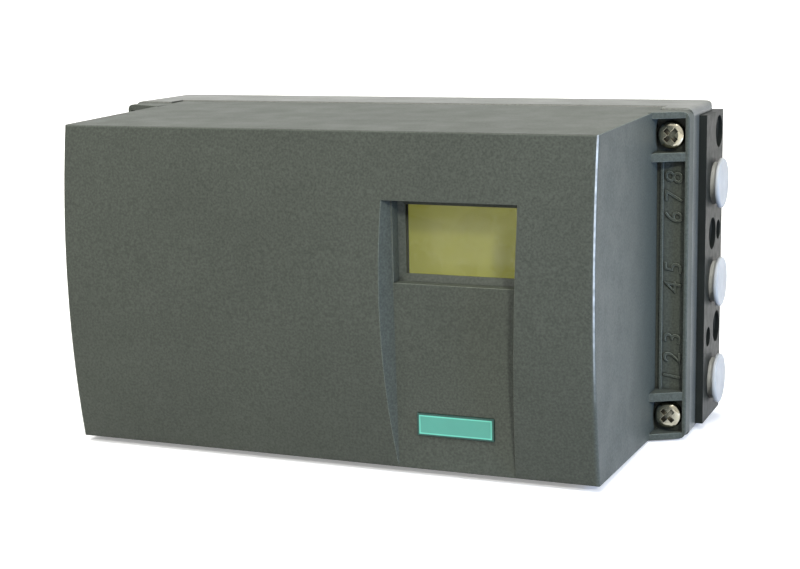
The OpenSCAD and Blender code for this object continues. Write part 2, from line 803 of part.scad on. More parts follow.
module base_housing() {
    inner_left = left_at(seam_y) + cover_wall;
    wall_x = block_x0 - block_wall;
    post_hole_d = post_screw_d + 2 * seat_gap;
    color("#55574f") difference() {
        union() {
            difference() {
                intersection() {
                    along_z(base_bottom, base_top) polygon(base_outline());
                    along_y(-far, bite) polygon(end_outline(base_bottom, base_top));
                }
                lip_cuts();
                translate([0, 0, base_bottom + base_top]) mirror([0, 0, 1]) lip_cuts();
                box([inner_left, -far, base_bottom + base_wall], [wall_x, -base_floor, base_top - base_wall]);
                box([-left_reach + base_wall, seam_y + block_wall, base_bottom + base_wall],
                    [inner_left + bite, -base_floor, base_top - base_wall]);
            }
            base_bosses();
        }
        box([block_x0 - seat_gap, block_y0 - seat_gap, block_z0 - seat_gap], [far, far, block_z1 + seat_gap]);
        box([step_x - seat_gap, step_y - seat_gap, block_z0 - seat_gap], [far, far, block_z1 + seat_gap]);
        box([duct[0][0], -far, duct[0][1]], [duct[1][0], block_y0, duct[1][1]]);
        for (at = insert_places) rod_y(insert_d + 2 * seat_gap, -insert_len, bite, at);
        rod_y(bush_d + 2 * seat_gap, -far, bite);
        for (x = screw_x, z = screw_z)
            rod_y(screw_insert_d + 2 * seat_gap, cheek_y - bite, cheek_y + insert_deep, [x, z]);
        for (at = block_screw_places) rod_y(block_screw_d + 2 * seat_gap, -far, block_y0, at);
        for (at = bracket_posts) rod_y(post_hole_d, bracket_rear - bite, bracket_rear + post_hole_deep, at);
        for (at = tray_posts) rod_y(post_hole_d, tray_rear - bite, tray_rear + post_hole_deep, at);
        for (at = [gland_at, plug_at]) rod_x(entry_d + 2 * seat_gap, -left_reach - bite, inner_left, at);
    }
}

module pneumatic_block() {
    color("#2b2b2b") difference() {
        union() {
            box([block_x0, block_y0, block_z0], [block_x1, 0, block_z1]);
            box([step_x, step_y, block_z0], [block_x1, 0, block_z1]);
        }
        for (z = port_z) {
            rod_x(port_d, block_x1 - port_depth, block_x1 + bite, [-port_back, z]);
            rod_x(vent_d, block_x0 + air_way_in, block_x1 - port_depth + bite, [-port_back, z]);
        }
        for (hole = side_holes)
            rod_x(hole[2], block_x1 - side_hole_depth, block_x1 + bite, [hole[0], hole[1]]);
        for (at = block_screw_places)
            rod_y(block_screw_d + 2 * seat_gap, block_y0 - bite, block_y0 + block_screw_hold + 2 * bite, at);
        for (at = rear_screw_places) rod_y(rear_screw_d + 2 * seat_gap, -rear_screw_len - bite, bite, at);
        for (at = air_ways) rod_y(vent_d, block_y0 - bite, block_y0 + air_way_deep, at);
    }
}

module block_gasket() {
    color("#151515") difference() {
        box([duct[0][0] + seat_gap, seam_y + seat_gap / 2, duct[0][1] + seat_gap],
            [duct[1][0] - seat_gap, block_y0 - seat_gap, duct[1][1] - seat_gap]);
        for (at = air_ways) rod_y(vent_d, -far, far, at);
    }
}

module block_screws() {
    color("silver") for (at = block_screw_places)
        translate([at[0], seam_y - seat_gap, at[1]])
            inner_screw(block_screw_d, block_wall + block_screw_hold);
}

// Headless screws with a round socket, sunk in the block's rear
module rear_screws() {
    socket_d = 0.6 * rear_screw_d;
    socket_deep = 2.5;
    color("gainsboro") for (at = rear_screw_places) difference() {
        rod_y(rear_screw_d, -rear_screw_len, -free_gap, at);
        rod_y(socket_d, -socket_deep, bite, at);
    }
}

module mounting_inserts() {
    color("goldenrod") for (at = insert_places)
        ring_y(insert_d, insert_hole_d, -insert_len + seat_gap, 0, at);
}

module cover_inserts() {
    color("goldenrod") for (x = screw_x, z = screw_z)
        ring_y(screw_insert_d, screw_d + 2 * run_gap, cheek_y, cheek_y + insert_deep - seat_gap, [x, z]);
}

module shaft_bush() {
    color("peru") ring_y(bush_d, journal_d + 2 * run_gap, bush_y0, seal_y0 - seat_gap);
}

module shaft_seal() {
    color("#202020") ring_y(bush_d, journal_d + 2 * run_gap, seal_y0, -seat_gap);
}

module feedback_shaft() {
    color("lightgray") difference() {
        union() {
            rod_y(shaft_d, -bite, shaft_free);
            rod_y(journal_d, bush_y0 - gear_gap - bite, 0);
            rod_y(collar_d, gear_rear, gear_rear + collar_t);
            rod_y(seat_d, shaft_front, gear_rear + bite);
        }
        box([-far, 0, shaft_d / 2 - shaft_flat], [far, far, far]);
        ring_y(seat_d + bite, groove_d, ring_front - run_gap, gear_front - run_gap);
    }
}

// A point at radius r and an angle in degrees
function polar(r, angle) = r * [cos(angle), sin(angle)];

// Angle that an involute from base_r has unwound at radius r
function involute_angle(r, base_r) = r <= base_r ? 0
    : sqrt(r * r / base_r / base_r - 1) * 180 / PI - acos(base_r / r);

// Half the angle that a tooth spans at radius r, with a pressure angle of 20 degrees
function tooth_half(r, teeth) = let (
    pitch_r = gear_module * teeth / 2,
    base_r = pitch_r * cos(20),
    pitch_half = 90 / teeth - backlash / 2 / pitch_r * 180 / PI)
    pitch_half + involute_angle(pitch_r, base_r) - involute_angle(r, base_r);

// Outline of a spur gear with one tooth towards +X
module gear_outline(teeth) {
    pitch_r = gear_module * teeth / 2;
    radii = [for (h = [-1.2, -0.5, 0.2, 0.9]) pitch_r + h * gear_module];
    flank = [for (r = radii) [r, tooth_half(r, teeth)]];
    rising = [for (k = [0:3]) [flank[k][0], -flank[k][1]]];
    falling = [for (k = [3:-1:0]) flank[k]];
    polygon([for (i = [0:teeth - 1], p = concat(rising, falling)) polar(p[0], p[1] + i * 360 / teeth)]);
}

module drive_gear() {
    holes = 6;
    hole_d = 8;
    hole_ring = 0.6 * gear_r;
    color("khaki") difference() {
        along_y(gear_front, gear_rear - seat_gap) rotate(pinion_angle) gear_outline(gear_teeth);
        rod_y(seat_d + 2 * seat_gap, -far, far);
        for (i = [0:holes - 1]) rod_y(hole_d, -far, far, polar(hole_ring, i * 360 / holes));
    }
}

// Spring ring in the shaft's groove, with its gap upwards
module shaft_ring() {
    ring_d = seat_d + 5;
    gap_half = 1.5;
    color("dimgray") difference() {
        ring_y(ring_d, groove_d + 2 * seat_gap, ring_front, gear_front - run_gap);
        box([-gap_half, -far, 0], [gap_half, far, far]);
    }
}

// Pinion on the potentiometer's shaft
module pot_pinion() {
    mesh_turn = pinion_angle + 180 + 180 / pinion_teeth;
    color("khaki") {
        along_y(pinion_front, pinion_rear)
            translate(pinion_at) rotate(mesh_turn) gear_outline(pinion_teeth);
        rod_y(pot_shaft_d, bracket_front - pot_shaft_in, pinion_rear + 1.5 * bite, pinion_at);
    }
}

// Adjusting wheel of the slip clutch, with finger notches on its edge
module clutch_wheel() {
    notches = 18;
    notch_d = 2;
    color("gold") difference() {
        rod_y(clutch_d, clutch_front, clutch_rear, pinion_at);
        rod_y(pot_shaft_d + 2 * run_gap, -far, far, pinion_at);
        for (i = [0:notches - 1])
            rod_y(notch_d, -far, far, pinion_at + polar(clutch_d / 2, i * 360 / notches));
    }
}

module gear_bracket() {
    edge = post_d / 2 + bite;
    corner_reach = 3;
    corners = [bracket_posts[0] + [-edge, -edge], bracket_posts[1] + [edge, -edge],
        bracket_posts[1] + [edge, edge], lever_at + [edge, edge], bracket_posts[2] + [-edge, edge]];
    count = len(corners);
    color("lightsteelblue") difference() {
        along_y(bracket_front, bracket_rear) polygon([for (i = [0:count - 1])
            each bend(corners[(i + count - 1) % count], corners[i], corners[(i + 1) % count], corner_reach)]);
        for (at = bracket_posts) rod_y(post_screw_d + 2 * free_gap, -far, far, at);
        rod_y(pot_shaft_d + 2 * free_gap, -far, far, pinion_at);
        rod_y(lever_pin_d + 2 * run_gap, -far, far, lever_at);
    }
}

module bracket_screws() {
    color("silver") for (at = bracket_posts)
        translate([at[0], bracket_front - seat_gap, at[1]])
            inner_screw(post_screw_d, bracket_t + post_screw_hold);
}

// Potentiometer: a round can with a terminal block under it
module potentiometer() {
    half = 0.3 * pot_d;
    below = 4;
    inset = 3;
    color("#303a4a") difference() {
        union() {
            rod_y(pot_d, pot_front, bracket_front - seat_gap, pinion_at);
            translate([pinion_at[0], 0, pinion_at[1]])
                box([-half, pot_front + inset, -pot_d / 2 - below], [half, bracket_front - inset - bite, 0]);
        }
        rod_y(pot_shaft_d + 2 * run_gap, bracket_front - pot_shaft_in - bite, far, pinion_at);
    }
}

// Lever that picks the travel ratio, on a pin in the bracket
module ratio_selector() {
    tip = lever_len - lever_w / 2;
    color("gold") translate([lever_at[0], 0, lever_at[1]]) {
        along_y(lever_front, lever_front + lever_t) union() {
            circle(d = lever_w + 2);
            translate([0, -lever_w / 2]) square([tip, lever_w]);
            translate([tip, 0]) circle(d = lever_w);
        }
        rod_y(lever_pin_d, lever_front + bite, bracket_rear - free_gap);
        rod_y(lever_w - 1, lever_front - lever_grip, lever_front + bite, [tip, 0]);
    }
}

// A tray or lid of the electronics, open on one side
module case_shell(y0, y1, closed_y0) {
    low = [-case_left, y0, case_bottom];
    high = [case_right, y1, case_top];
    inset = [case_wall, 0, case_wall];
    cut = closed_y0 ? [case_wall, bite] : [-bite, -case_wall];
    difference() {
        box(low, high);
        box(low + inset + [0, cut[0], 0], high - inset + [0, cut[1], 0]);
    }
}

module electronics_tray() {
    color("#3a3d40") difference() {
        union() {
            case_shell(tray_front, tray_rear, false);
            for (at = tray_posts) rod_y(post_d, board_rear + seat_gap, tray_rear, at);
            for (at = module_posts) rod_y(module_boss_d, board_rear + seat_gap, tray_rear, at);
        }
        for (at = tray_posts) rod_y(post_screw_d + 2 * free_gap, -far, far, at);
        for (at = module_posts) rod_y(post_screw_d + 2 * seat_gap, -far, board_rear + post_hole_deep, at);
    }
}

module main_board() {
    inset = case_wall + free_gap;
    color("darkgreen") difference() {
        box([-case_left + inset, board_front, case_bottom + inset],
            [case_right - inset, board_rear, case_top - inset]);
        for (at = concat(tray_posts, module_posts)) rod_y(post_screw_d + 2 * free_gap, -far, far, at);
    }
}

module board_screws() {
    reach = tray_rear - board_front + post_screw_hold;
    color("silver") for (at = tray_posts)
        translate([at[0], board_front - seat_gap, at[1]]) inner_screw(post_screw_d, reach);
}

// Lid of the electronics with a display opening, button holes and two screw tubes
module module_cover() {
    inside = case_front + case_wall;
    color("#2e3033") difference() {
        union() {
            case_shell(case_front, tray_front - seat_gap, true);
            for (at = module_posts) rod_y(module_boss_d, inside - bite, board_front - seat_gap, at);
        }
        box([glass_x[0] - seat_gap, -far, glass_z[0] - seat_gap],
            [glass_x[1] + seat_gap, inside + bite, glass_z[1] + seat_gap]);
        for (x = button_x) rod_y(button_d + 2 * free_gap, case_front - bite, inside + bite, [x, button_z]);
        for (at = module_posts) rod_y(post_screw_d + 2 * free_gap, -far, far, at);
    }
}

module module_screws() {
    reach = board_rear - case_front + post_screw_hold;
    color("silver") for (at = module_posts)
        translate([at[0], case_front - seat_gap, at[1]]) inner_screw(post_screw_d, reach);
}

module display_glass() {
    color("darkkhaki") box([glass_x[0], glass_front, glass_z[0]], [glass_x[1], glass_rear, glass_z[1]]);
}

// Frame that carries the display glass on the main board
module display_frame() {
    edge = 1.5;
    plate_t = 2;
    color("#44484c") difference() {
        box([glass_x[0], glass_rear + seat_gap, glass_z[0]],
            [glass_x[1], board_front - seat_gap, glass_z[1]]);
        box([glass_x[0] + edge, glass_rear + plate_t, glass_z[0] + edge],
            [glass_x[1] - edge, far, glass_z[1] - edge]);
    }
}

// One push button, drawn at its place in the row
module push_button(x) {
    flange_front = case_front + case_wall + free_gap / 2;
    rod_y(button_d, case_front - button_proud, flange_front + bite, [x, button_z]);
    rod_y(button_flange_d, flange_front, flange_front + button_flange, [x, button_z]);
    rod_y(button_d - 2, flange_front + bite, button_rear, [x, button_z]);
}

module mode_button() {
    color("gold") push_button(button_x[0]);
}

module down_button() {
    color("gainsboro") push_button(button_x[1]);
}

module up_button() {
    color("gainsboro") push_button(button_x[2]);
}

module button_switches() {
    half = switch_w / 2;
    color("#111111") for (x = button_x)
        box([x - half, switch_front, button_z - half], [x + half, board_front - seat_gap, button_z + half]);
}

module terminal_board() {
    color("seagreen") box([terminal_x0, terminal_rear - board_t, terminal_board_z[0]],
        [terminal_x1, terminal_rear, terminal_board_z[1]]);
}

// Height of one way of a terminal block that starts at z0
function way_z(z0, i) = z0 + terminal_end + (i + 0.5) * terminal_pitch;

// Terminal block with a wire mouth and a screw hole for each way
module terminal_row(z0) {
    left = terminal_x0 + bite;
    right = terminal_x1 - bite;
    slant = 4;
    mouth_y = terminal_front + slant + bite;
    mouth_h = 3.4;
    mouth_deep = 6;
    difference() {
        along_z(z0, z0 + terminal_h) polygon([[left, terminal_seat], [left, terminal_front + slant],
            [left + slant, terminal_front], [right, terminal_front], [right, terminal_seat]]);
        for (i = [0:terminal_ways - 1]) {
            z = way_z(z0, i);
            box([left - bite, mouth_y, z - mouth_h / 2],
                [left + mouth_deep, mouth_y + mouth_h, z + mouth_h / 2]);
            rod_y(terminal_screw_d + 2 * free_gap, terminal_front - bite,
                terminal_front + terminal_screw_deep, [terminal_x1 - terminal_screw_in, z]);
        }
    }
}

module lower_terminals() {
    color("#4b5158") terminal_row(terminal_z[0]);
}

module upper_terminals() {
    color("#4b5158") terminal_row(terminal_z[1]);
}

// Slotted screws, sunk in the terminal blocks
module terminal_screws() {
    sunk = 2;
    slot_half = 0.4;
    rear = terminal_front + terminal_screw_deep - seat_gap;
    color("silver") for (z0 = terminal_z, i = [0:terminal_ways - 1])
        translate([terminal_x1 - terminal_screw_in, terminal_front + sunk, way_z(z0, i)]) difference() {
            rod_y(terminal_screw_d, 0, rear - terminal_front - sunk);
            box([-far, -bite, -slot_half], [far, 2 * slot_half, slot_half]);
        }
}

module valve_manifold() {
    color("#6d7278") difference() {
        box([manifold_x0, manifold_front, manifold_z0], [manifold_x1, manifold_rear, manifold_z1]);
        box([manifold_x0 - bite, purge_y - purge_w / 2 - free_gap, purge_z0 - free_gap],
            [manifold_x0 + purge_deep + free_gap, purge_y + purge_w / 2 + free_gap,
            purge_z0 + purge_knob_h + purge_travel + free_gap]);
        for (at = air_ways) rod_y(vent_d, manifold_rear - manifold_len * 0.4, far, at);
    }
}

// One pilot valve: a flat body with two round electric heads
module pilot_valve(x) {
    w = manifold_w / 2 - 2 * bite;
    mid = manifold_z0 + manifold_h / 2;
    half_h = manifold_h / 2 - 2 * bite;
    neck = manifold_front - pilot_len * 0.4;
    box([x - w / 2, neck, mid - half_h], [x + w / 2, manifold_front - seat_gap, mid + half_h]);
    for (side = [-1, 1]) rod_y(w - bite, pilot_front, neck + bite, [x, mid + side * manifold_h / 4]);
}

module supply_pilot() {
    color("#202428") pilot_valve(manifold_x0 + manifold_w / 4);
}

module exhaust_pilot() {
    color("#202428") pilot_valve(manifold_x1 - manifold_w / 4);
}

// Slider that sends purge air inwards or outwards
module purge_selector() {
    purge_z1 = purge_z0 + purge_knob_h;
    color("gold") union() {
        box([manifold_x0, purge_y - purge_w / 2, purge_z0],
            [manifold_x0 + purge_deep, purge_y + purge_w / 2, purge_z1]);
        box([manifold_x0 - purge_deep, purge_y - purge_w / 4, purge_z0 + bite],
            [manifold_x0 + bite, purge_y + purge_w / 4, purge_z1 - bite]);
    }
}

module gland_body() {
    color("#3b3d40") difference() {
        union() {
            hex_x(gland_flats, gland_face, -left_reach - seat_gap, gland_at);
            rod_x(entry_d, -left_reach - bite, -left_reach + base_wall + gland_inside, gland_at);
            rod_x(gland_neck_d, gland_face - gland_neck, gland_face + bite, gland_at);
        }
        rod_x(gland_bore, -far, far, gland_at);
    }
}

module gland_seal() {
    rear = gland_face - gland_neck - seat_gap;
    color("#161616") difference() {
        rod_x(gland_bore + 2 * bite, rear - seal_t, rear, gland_at);
        rod_x(cable_d, -far, far, gland_at);
    }
}

// Domed nut of the gland: a hexagon, then a rounded nose
module gland_nut() {
    rear = gland_face - free_gap;
    nose = gland_nut_len * 0.45;
    nose_x = rear - gland_nut_len + nose;
    nose_r = gland_flats / 2 - bite;
    dome = bend([nose_r, -bite], [nose_r, nose], [0, nose], nose * 0.8);
    color("#3b3d40") difference() {
        union() {
            hex_x(gland_flats - bite, nose_x, rear, gland_at);
            translate([nose_x, gland_at[0], gland_at[1]]) rotate([0, -90, 0]) rotate_extrude()
                polygon(concat([[0, -bite], [nose_r, -bite]], dome, [[0, nose]]));
        }
        rod_x(gland_bore, -far, far, gland_at);
        rod_x(gland_neck_d + 2 * seat_gap, gland_face - gland_neck - seal_t - seat_gap, far, gland_at);
    }
}

// Plug of the second cable entry, with a slot across its head
module blanking_plug() {
    head_rear = -left_reach - plug_seal_t;
    head_front = head_rear - plug_head_t;
    color("#3b3d40") difference() {
        union() {
            rod_x(entry_d, head_rear, -left_reach + base_wall + plug_inside, plug_at);
            rod_x(gland_flats, head_front, head_rear, plug_at);
        }
        rod_x(entry_d - 5 * bite, -left_reach + bite, far, plug_at);
        translate([head_front, plug_at[0], plug_at[1]])
            box([-bite, -slot_l / 2, -slot_w / 2], [slot_deep, slot_l / 2, slot_w / 2]);
    }
}

module plug_seal() {
    color("#161616") difference() {
        rod_x(gland_flats - bite, -left_reach - plug_seal_t + seat_gap, -left_reach - seat_gap, plug_at);
        rod_x(entry_d + 2 * seat_gap, -far, far, plug_at);
    }
}

// Dust plug in a port: a hollow stem, a collar and a domed flange
module dust_plug(z) {
    stem_r = port_d / 2 - run_gap;
    flange_r = plug_flange_d / 2;
    lead = 0.4;
    under = plug_reach + plug_collar;
    top = under + plug_flange_t;
    dome = bend([flange_r, under], [flange_r, top], [0, top], plug_flange_t * 0.6);
    bore_d = port_d - 4;
    bore_end = block_x1 + plug_collar - bite / 2;
    translate([0, -port_back, z]) difference() {
        translate([block_x1 - plug_reach, 0, 0]) rotate([0, 90, 0]) rotate_extrude()
            polygon(concat([[0, 0], [stem_r - lead, 0], [stem_r, 2 * lead], [stem_r, under]],
                [[flange_r, under]], dome, [[0, top]]));
        rod_x(bore_d, block_x1 - plug_reach - bite, bore_end, [0, 0]);
    }
}

module lower_dust_plug() {
    color("#dbe4e8") dust_plug(port_z[0]);
}

module middle_dust_plug() {
    color("#dbe4e8") dust_plug(port_z[1]);
}

module upper_dust_plug() {
    color("#dbe4e8") dust_plug(port_z[2]);
}

base_housing();
pneumatic_block();
block_gasket();
block_screws();
rear_screws();
mounting_inserts();
cover_inserts();
shaft_bush();
shaft_seal();
gear_bracket();
bracket_screws();
potentiometer();
electronics_tray();
main_board();
board_screws();
module_cover();
module_screws();
display_glass();
display_frame();
button_switches();
terminal_board();
lower_terminals();
upper_terminals();
terminal_screws();
valve_manifold();
supply_pilot();
exhaust_pilot();
gland_body();
gland_seal();
gland_nut();
blanking_plug();
plug_seal();
cover();
window_pane();
badge_plate();
cover_gasket();
cover_screws();
feedback_shaft();
drive_gear();
shaft_ring();
pot_pinion();
clutch_wheel();
ratio_selector();
mode_button();
down_button();
up_button();
purge_selector();
lower_dust_plug();
middle_dust_plug();
upper_dust_plug();
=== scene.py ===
"""Looks of a valve positioner with a lift-off cover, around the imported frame.

Lengths are in metres unless a name says otherwise, with +Z up and the front towards -Y.
"""
import json
import math

import bpy
from mathutils import Matrix, Vector


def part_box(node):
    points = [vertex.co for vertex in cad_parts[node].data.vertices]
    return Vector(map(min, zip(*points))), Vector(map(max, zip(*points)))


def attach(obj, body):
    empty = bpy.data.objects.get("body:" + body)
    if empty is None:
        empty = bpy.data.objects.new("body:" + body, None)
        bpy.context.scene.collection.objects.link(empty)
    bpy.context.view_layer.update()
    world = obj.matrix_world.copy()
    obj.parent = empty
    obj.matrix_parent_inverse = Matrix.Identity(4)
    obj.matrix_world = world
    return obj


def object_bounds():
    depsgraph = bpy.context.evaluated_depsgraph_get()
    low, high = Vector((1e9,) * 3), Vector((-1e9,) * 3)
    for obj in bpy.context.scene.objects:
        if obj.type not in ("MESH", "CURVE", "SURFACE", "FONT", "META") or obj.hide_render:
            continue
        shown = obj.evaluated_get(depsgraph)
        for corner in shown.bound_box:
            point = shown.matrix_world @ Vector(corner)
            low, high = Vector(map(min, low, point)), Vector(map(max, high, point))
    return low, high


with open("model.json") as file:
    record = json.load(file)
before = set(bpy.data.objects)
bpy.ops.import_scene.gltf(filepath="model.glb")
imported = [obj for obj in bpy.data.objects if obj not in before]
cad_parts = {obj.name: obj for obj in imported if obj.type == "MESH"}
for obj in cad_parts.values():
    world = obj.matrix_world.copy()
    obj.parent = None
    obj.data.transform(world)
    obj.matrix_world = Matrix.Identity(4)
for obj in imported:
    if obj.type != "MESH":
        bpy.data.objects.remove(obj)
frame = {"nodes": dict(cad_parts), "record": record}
cad_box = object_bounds()
MM = 0.001

# Camera of the photograph, from its fitted viewing angles
CAMERA_PLACE = Vector((175.5, -489.4, 95.65)) * MM
CAMERA_YAW = -0.3911
CAMERA_PITCH = 0.1845
CAMERA_ROLL = -0.0189
CAMERA_LENS_MM = 74.2
SENSOR_MM = 36.0


def turned_frame(yaw, pitch, roll):
    """Rotation whose columns are the camera's right, up and backward directions."""
    ahead = Vector((math.sin(yaw) * math.cos(pitch), math.cos(yaw) * math.cos(pitch), -math.sin(pitch)))
    right = Vector((math.cos(yaw), -math.sin(yaw), 0.0))
    up = right.cross(ahead)
    right_rolled = right * math.cos(roll) + up * math.sin(roll)
    up_rolled = up * math.cos(roll) - right * math.sin(roll)
    return Matrix((right_rolled, up_rolled, -ahead)).transposed()


def link_object(name, data):
    piece = bpy.data.objects.new(name, data)
    bpy.context.collection.objects.link(piece)
    return piece


def add_camera():
    data = bpy.data.cameras.new("photo_camera")
    data.sensor_fit = "HORIZONTAL"
    data.sensor_width = SENSOR_MM
    data.lens = CAMERA_LENS_MM
    data.clip_start = 0.01
    camera = link_object("photo_camera", data)
    turn = turned_frame(CAMERA_YAW, CAMERA_PITCH, CAMERA_ROLL).to_4x4()
    camera.matrix_world = Matrix.Translation(CAMERA_PLACE) @ turn
    bpy.context.scene.camera = camera


# Building blocks of the materials

# Place and lean of the painted highlight on the round between the front and the right side, which fades
# towards the bottom
CORNER_X = 64.0 * MM
CORNER_Y = -88.0 * MM
CORNER_FADE = (-14.0 * MM, 16.0 * MM)
CORNER_LEAN = (0.34, 0.55, 0.86, 0.95)

# Limits between which a shade or a mask runs over
NOISE_RANGE = (0.3, 0.7)
SPECK_RANGE = (0.32, 0.68)
DUST_RANGE = (0.35, 0.75)
EDGE_RANGE = (0.80, 0.99)
# Painted shade in corners, holes and slots runs over this range of openness
PAINTED_SHADE_RANGE = (0.3, 0.85)
OUTER_RANGE = (0.75, 0.95)
WHOLE_RANGE = (0.0, 1.0)

# Reach of the openness behind the painted shade and the painted edge highlight
OPENNESS_REACH_MM = 1.6
EDGE_SAMPLES = 6
OPENNESS_SAMPLES = 8

# Sockets of a Mix node that blends colours
MIX_FIRST = 6
MIX_SECOND = 7
MIX_RESULT = 2


def new_material(name):
    material = bpy.data.materials.new(name)
    material.use_nodes = True
    tree = material.node_tree
    return material, tree, tree.nodes["Principled BSDF"]


def add_node(tree, kind, **inputs):
    node = tree.nodes.new(kind)
    for name, value in inputs.items():
        node.inputs[name.replace("_", " ")].default_value = value
    return node


def noise(tree, size_mm, detail=3.0):
    """Soft noise whose blotches are about size_mm wide."""
    place = tree.nodes.new("ShaderNodeTexCoord").outputs["Object"]
    node = add_node(tree, "ShaderNodeTexNoise", Scale=1 / (size_mm * MM), Detail=detail)
    tree.links.new(place, node.inputs["Vector"])
    return node.outputs["Fac"]


def ramp(tree, factor, stops):
    """Colour ramp over a factor, from (position, colour) stops."""
    node = tree.nodes.new("ShaderNodeValToRGB")
    elements = node.color_ramp.elements
    while len(elements) < len(stops):
        elements.new(0.5)
    for element, (position, colour) in zip(elements, stops):
        element.position = position
        element.color = (*colour, 1.0)
    tree.links.new(factor, node.inputs["Fac"])
    return node.outputs["Color"]


def faded(tree, factor, limits, first, second):
    """Colour that runs from the first to the second as a factor passes from one limit to the other."""
    return ramp(tree, factor, [(limits[0], first), (limits[1], second)])


def mixed(tree, factor, first, second, blend="MIX"):
    """Blend of two colour outputs by a factor, which is a number or an output."""
    node = tree.nodes.new("ShaderNodeMix")
    node.data_type = "RGBA"
    node.blend_type = blend
    if isinstance(factor, float):
        node.inputs["Factor"].default_value = factor
    else:
        tree.links.new(factor, node.inputs["Factor"])
    tree.links.new(first, node.inputs[MIX_FIRST])
    tree.links.new(second, node.inputs[MIX_SECOND])
    return node.outputs[MIX_RESULT]


def grey(value):
    return (value, value, value)


def scaled(colour, share):
    return tuple(min(1.0, channel * share) for channel in colour)


def mottled(tree, colour, size_mm, share, detail=3.0):
    """Colour that drifts by a share to either side."""
    dark = scaled(colour, 1 - share)
    light = scaled(colour, 1 + share)
    return faded(tree, noise(tree, size_mm, detail), NOISE_RANGE, dark, light)


def uneven_gloss(tree, shader, rough, size_mm):
    """Roughness that wanders between two values."""
    gloss = faded(tree, noise(tree, size_mm), NOISE_RANGE, grey(rough[0]), grey(rough[1]))
    tree.links.new(gloss, shader.inputs["Roughness"])


def rounded_normal(tree, radius_mm):
    """Normal that runs softly over the edges, as a small moulded or broken edge does."""
    node = add_node(tree, "ShaderNodeBevel", Radius=radius_mm * MM)
    node.samples = EDGE_SAMPLES
    return node.outputs["Normal"]


def edge_mask(tree, normal):
    """One on the edges and zero on the flats, from how far the rounded normal leans."""
    flat = tree.nodes.new("ShaderNodeNewGeometry").outputs["Normal"]
    lean = tree.nodes.new("ShaderNodeVectorMath")
    lean.operation = "DOT_PRODUCT"
    tree.links.new(normal, lean.inputs[0])
    tree.links.new(flat, lean.inputs[1])
    return faded(tree, lean.outputs["Value"], EDGE_RANGE, grey(1.0), grey(0.0))


def openness(tree, reach_mm):
    """One on flats and outer edges, less in corners, holes and slots, by what stands within reach."""
    node = add_node(tree, "ShaderNodeAmbientOcclusion", Distance=reach_mm * MM)
    node.samples = OPENNESS_SAMPLES
    return node.outputs["AO"]


def grimed(tree, colour, open_share, darkest):
    """Colour with painted shade, darker where little of the surface is open."""
    shade = faded(tree, open_share, PAINTED_SHADE_RANGE, grey(darkest), grey(1.0))
    return mixed(tree, 1.0, colour, shade, "MULTIPLY")


def product(tree, factors):
    """Product of several factor outputs."""
    total = factors[0]
    for factor in factors[1:]:
        both = tree.nodes.new("ShaderNodeMath")
        both.operation = "MULTIPLY"
        tree.links.new(total, both.inputs[0])
        tree.links.new(factor, both.inputs[1])
        total = both.outputs["Value"]
    return total


def axis_of(tree, source, axis):
    """One axis of a texture coordinate."""
    place = tree.nodes.new("ShaderNodeTexCoord").outputs[source]
    parts = tree.nodes.new("ShaderNodeSeparateXYZ")
    tree.links.new(place, parts.inputs["Vector"])
    return parts.outputs[axis]


def compared(tree, value, operation, limit):
    node = tree.nodes.new("ShaderNodeMath")
    node.operation = operation
    node.inputs[1].default_value = limit
    tree.links.new(value, node.inputs[0])
    return node.outputs["Value"]


def front_corner_mask(tree):
    """One where the painted highlight lies on the upper round between the front and the right side, from
    where the surface leans and lies.
    """
    levels = (0.0, 1.0, 1.0, 0.0)
    stops = [(lean, grey(level)) for lean, level in zip(CORNER_LEAN, levels)]
    leaning = ramp(tree, axis_of(tree, "Normal", "X"), stops)
    right = compared(tree, axis_of(tree, "Object", "X"), "GREATER_THAN", CORNER_X)
    ahead = compared(tree, axis_of(tree, "Object", "Y"), "LESS_THAN", CORNER_Y)
    high = add_node(tree, "ShaderNodeMapRange", From_Min=CORNER_FADE[0], From_Max=CORNER_FADE[1])
    tree.links.new(axis_of(tree, "Object", "Z"), high.inputs["Value"])
    return product(tree, [leaning, right, ahead, high.outputs["Result"]])


def add_bump(tree, shader, height, strength, depth_mm, normal=None):
    bump = add_node(tree, "ShaderNodeBump", Strength=strength, Distance=depth_mm * MM)
    tree.links.new(height, bump.inputs["Height"])
    if normal is not None:
        tree.links.new(normal, bump.inputs["Normal"])
    tree.links.new(bump.outputs["Normal"], shader.inputs["Normal"])


# Materials

COVER_GREY = (0.086, 0.097, 0.081)
BASE_GREY = (0.135, 0.143, 0.125)
# Colour of the painted highlight on the round between the front and the right side
CORNER_HIGHLIGHT_GREY = (0.50, 0.52, 0.50)
BLOCK_BLACK = (0.012, 0.014, 0.012)
PLUG_WHITE = (0.46, 0.465, 0.44)
DISPLAY_KHAKI = (0.265, 0.265, 0.046)
PLATE_TEAL = (0.115, 0.43, 0.345)
SPECK_SHADES = (0.64, 1.04)
# How much lighter than the colour the painted highlight on the outer edges is
EDGE_HIGHLIGHT_SHARE = 2.9

# Margins of the plate's light line and dark rim, as shares of its length and its height
LINE_MARGIN = (0.034, 0.13)
RIM_MARGIN = (0.018, 0.068)
MARGIN_FADE = 0.01


